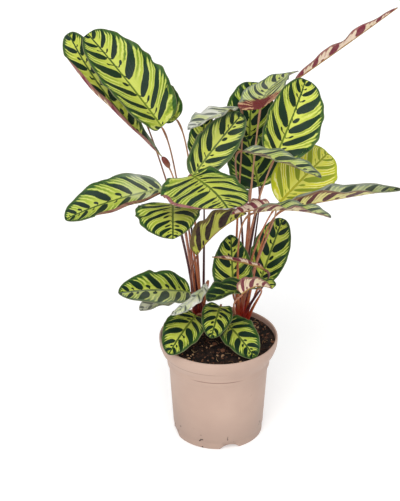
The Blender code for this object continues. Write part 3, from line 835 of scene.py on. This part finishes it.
def potMaterial():
    finish = potFinish
    recipe = Recipe("potPlastic", {"Specular IOR Level": 0.35})
    place = recipe.place()
    parts = recipe.node("SeparateXYZ", {}, {"Vector": place})
    x = Wire(recipe, parts.outputs[0]) * 1000
    height = Wire(recipe, parts.outputs[2]) * 1000
    cloud = recipe.noise(place, 16, 3)
    grain = recipe.noise(place, 420, 2)
    painted = recipe.mix(recipe.step(cloud, 0.3, 0.7), finish["patch"], finish["front"])
    # Painted shade: the wall is painted darker towards the foot.
    painted = recipe.mix(recipe.step(height, 70, 5) * 0.6, painted, finish["low"])
    # Painted shade: darker lines along the two faint rings, one on the lip's under curve in patches and one
    # on the collar, the collar one only near the middle of the wall in x.
    ringShadeMiddle = recipe.step(abs(x + 2), finish["ringShadeFade"], finish["ringShadeFade"] * 0.5)
    seam = recipe.step(abs(height - finish["ringShadeHeight"]), 0.75, 0.3) * ringShadeMiddle
    upperRingShade = recipe.step(abs(height - finish["upperRingShade"]), 0.8, 0.3) * recipe.step(cloud, 0.45, 0.6) * 0.5
    painted = recipe.mix(recipe.largest(seam, upperRingShade), painted, finish["seam"])
    scuffs = recipe.step(recipe.noise(place, 60, 4, 0.7), 0.66, 0.76) * 0.35
    painted = recipe.mix(scuffs, painted, finish["scuff"])
    specks = recipe.step(recipe.noise(place, 150, 1), 0.68, 0.71) * recipe.step(height, 28, 9)
    painted = recipe.mix(specks, painted, finish["speck"])
    return recipe.finish(painted, 0.5 + grain * 0.08, grain, 0.15 * mm, 0.3)


def makePot():
    shape = bmesh.new()
    spinProfile(shape, potProfile(), potForm["steps"])
    ringInner = (potForm["footRadius"] - potForm["ringDepth"]) * mm
    for vertex in shape.verts:
        radius = math.hypot(vertex.co.x, vertex.co.y)
        if radius > ringInner and vertex.co.z < potForm["notchHeight"] * mm:
            vertex.co.z = max(vertex.co.z, notchLift(vertex.co))
    addPiece("potShell", shape, [potMaterial()], "pot")
    print("pot made")


# Peat: a crumbly bed with loose crumbs and fibres on it.
soilForm = {
    "rings": 46, "steps": 150, "crumbs": 1100, "fibres": 26, "relief": 1.8, "hill": 3, "edge": 66.5,
    "lowerProfile": ((59.1, 101), (56.6, 88), (51.6, 8.9), (27, 8.9), (19, 1.9), (0, 1.9)),
    "crumbSize": (0.4, 1.8), "bigChance": 0.08, "bigTimes": 1.8, "crumbRoughness": 0.15,
    "fibrePoints": 9, "fibreStep": (0.8, 2.2), "fibreRise": (0.4, 1.6), "fibreBend": (-0.25, 0.25),
    "fibreRadius": (0.16, 0.34), "fibreSides": 5,
}


def soilHeight(x, y):
    radius = math.hypot(x, y)
    edge = soilForm["edge"]
    hill = soilForm["hill"] * (1 - (radius / edge) ** 2)
    place = Vector((x, y, 0))
    lumps = noise.fractal(place * 0.09, 1.0, 2.0, 4) * soilForm["relief"]
    lumps += abs(noise.noise(place * 0.42)) * 1.6
    return stalkForm["soilTop"] + hill + lumps * min(1, (edge - radius) / 6 + 0.25)


def soilMaterial():
    recipe = Recipe("peat", {"Specular IOR Level": 0.25})
    place = recipe.place()
    coarse = recipe.noise(place, 160, 4, 0.65)
    fine = recipe.noise(place, 700, 3, 0.6)
    painted = recipe.mix(recipe.step(coarse, 0.4, 0.7), (14, 9, 8), (52, 36, 29))
    painted = recipe.mix(recipe.step(fine, 0.58, 0.72) * 0.6, painted, (112, 82, 62))
    return recipe.finish(painted, 0.85 + fine * 0.1, coarse + fine * 0.5, 1.2 * mm, 1.0)


def crumbMaterial():
    recipe = Recipe("peatCrumb", {"Specular IOR Level": 0.25})
    chance = recipe.attribute("chance")
    fine = recipe.noise(recipe.place(), 800, 2)
    painted = recipe.mix(recipe.step(chance, 0.3, 0.9), (24, 15, 12), (120, 80, 58))
    painted = recipe.mix(recipe.step(chance, 0.88, 0.97), painted, (190, 152, 116))
    painted = recipe.mix(recipe.step(fine, 0.5, 0.75) * 0.5, painted, (30, 20, 16))
    return recipe.finish(painted, 0.8 + fine * 0.1, fine, 0.4 * mm, 0.8)


def fibreMaterial():
    recipe = Recipe("peatFibre", {"Specular IOR Level": 0.3})
    chance = recipe.attribute("chance")
    painted = recipe.mix(chance, (92, 62, 42), (206, 172, 124))
    fine = recipe.noise(recipe.place(), 900, 2)
    return recipe.finish(painted, 0.7 + fine * 0.1, fine, 0.2 * mm, 0.5)


def makeSoil():
    form = soilForm
    draws = random.Random("peat")
    shape = bmesh.new()
    layers = {"chance": shape.verts.layers.float.new("chance"), "up": shape.verts.layers.float.new("up")}
    edge = form["edge"]
    top = stalkForm["soilTop"]
    profile = [(edge * ring / form["rings"], top) for ring in range(form["rings"] + 1)]
    profile += [(edge, potForm["lipFoot"]), *form["lowerProfile"]]
    spinProfile(shape, profile, form["steps"])
    for vertex in shape.verts:
        if vertex.co.z > (top - 0.5) * mm:
            vertex.co.z = soilHeight(vertex.co.x / mm, vertex.co.y / mm) * mm
    bed = len(shape.faces)
    for number in range(form["crumbs"]):
        radius = (edge - 1.5) * math.sqrt(draws.random())
        angle = draws.uniform(0, 2 * math.pi)
        x, y = radius * math.cos(angle), radius * math.sin(angle)
        size = draws.uniform(*form["crumbSize"])
        size *= form["bigTimes"] if draws.random() < form["bigChance"] else 1
        made = bmesh.ops.create_icosphere(shape, subdivisions=1, radius=size * mm)["verts"]
        sides = (draws.uniform(0.6, 1.5), draws.uniform(0.6, 1.2), draws.uniform(0.5, 0.9))
        stretch = Matrix.Diagonal((*sides, 1))
        turn = Matrix.Rotation(draws.uniform(0, 6.28), 4, "Z")
        turn = turn @ Matrix.Rotation(draws.uniform(-0.5, 0.5), 4, "X")
        put = Matrix.Translation(Vector((x, y, soilHeight(x, y) + size * 0.15)) * mm)
        bmesh.ops.transform(shape, matrix=put @ turn @ stretch, verts=made)
        chance = draws.random()
        for vertex in made:
            rough = form["crumbRoughness"]
            vertex.co += Vector([draws.uniform(-rough, rough) * size * mm for _ in range(3)])
            vertex[layers["chance"]] = chance
    crumbs = len(shape.faces)
    for number in range(form["fibres"]):
        radius = (edge - 8) * math.sqrt(draws.random())
        angle = draws.uniform(0, 2 * math.pi)
        heading = draws.uniform(0, 2 * math.pi)
        bend = draws.uniform(*form["fibreBend"])
        place = Vector((radius * math.cos(angle), radius * math.sin(angle), 0))
        length = draws.uniform(*form["fibreStep"])
        rise = draws.uniform(*form["fibreRise"])
        route = []
        for step in range(form["fibrePoints"]):
            lift = 0.5 + rise * math.sin(math.pi * step / (form["fibrePoints"] - 1))
            height = soilHeight(place.x, place.y) * 0.3 + top * 0.7 + 1.5 + lift
            route.append(Vector((place.x, place.y, height)))
            place = place + Vector((math.cos(heading), math.sin(heading), 0)) * length
            heading += bend
            if math.hypot(place.x, place.y) > edge - 1.5:
                break
        if len(route) > 4:
            radii = [draws.uniform(*form["fibreRadius"])] * len(route)
            addTube(shape, route, radii, layers, {"chance": draws.random()}, form["fibreSides"])
    shape.faces.ensure_lookup_table()
    for number, face in enumerate(shape.faces):
        face.material_index = 0 if number < bed else 1 if number < crumbs else 2
    piece = addPiece("peatBed", shape, [soilMaterial(), crumbMaterial(), fibreMaterial()], "soil")
    for face in piece.data.polygons:
        face.use_smooth = face.material_index == 2
    print("soil made")


makePot()
makeSoil()


# Studio: a white floor, soft lights, and the photograph's camera.
studio = {
    "cameraPlace": (-0.0218, -2.0455, 1.3082), "cameraDown": 27.6, "focalPixels": 2000, "imageLong": 501,
    "world": 0.34, "floor": 0.76, "floorGlow": 0.38, "floorRoughness": 0.9, "floorSize": 8,
    "keyLight": {"way": (0.2, 1.0, -1.0), "angle": 45, "power": 2.0},
    "topLight": {"way": (-0.15, -0.25, -1.0), "angle": 100, "power": 0.8},
}


def addLight(name, way, angle, power):
    light = bpy.data.lights.new(name, "SUN")
    light.angle = math.radians(angle)
    light.energy = power
    holder = bpy.data.objects.new(name, light)
    scene.collection.objects.link(holder)
    holder.rotation_euler = Vector(way).to_track_quat("-Z", "Y").to_euler()


def makeStudio():
    world = bpy.data.worlds.new("studioWorld")
    world.use_nodes = True
    world.node_tree.nodes["Background"].inputs["Color"].default_value = (1, 1, 1, 1)
    world.node_tree.nodes["Background"].inputs["Strength"].default_value = studio["world"]
    scene.world = world
    for name in ("keyLight", "topLight"):
        addLight(name, **studio[name])
    floorShape = bmesh.new()
    bmesh.ops.create_grid(floorShape, x_segments=1, y_segments=1, size=studio["floorSize"])
    floorMesh = bpy.data.meshes.new("studioFloor")
    floorShape.to_mesh(floorMesh)
    floorShape.free()
    floor = bpy.data.objects.new("studioFloor", floorMesh)
    scene.collection.objects.link(floor)
    white = {
        "Base Color": (studio["floor"],) * 3 + (1,), "Roughness": studio["floorRoughness"],
        "Emission Color": (1, 1, 1, 1), "Emission Strength": studio["floorGlow"],
    }
    floorMesh.materials.append(Recipe("studioWhite", white).material)
    cameraData = bpy.data.cameras.new("photoCamera")
    cameraData.lens = studio["focalPixels"] / studio["imageLong"] * cameraData.sensor_width
    camera = bpy.data.objects.new("photoCamera", cameraData)
    scene.collection.objects.link(camera)
    camera.location = studio["cameraPlace"]
    camera.rotation_euler = (math.radians(90 - studio["cameraDown"]), 0, 0)
    scene.camera = camera
    scene.view_settings.view_transform = "Standard"
    print("studio made")


makeStudio()
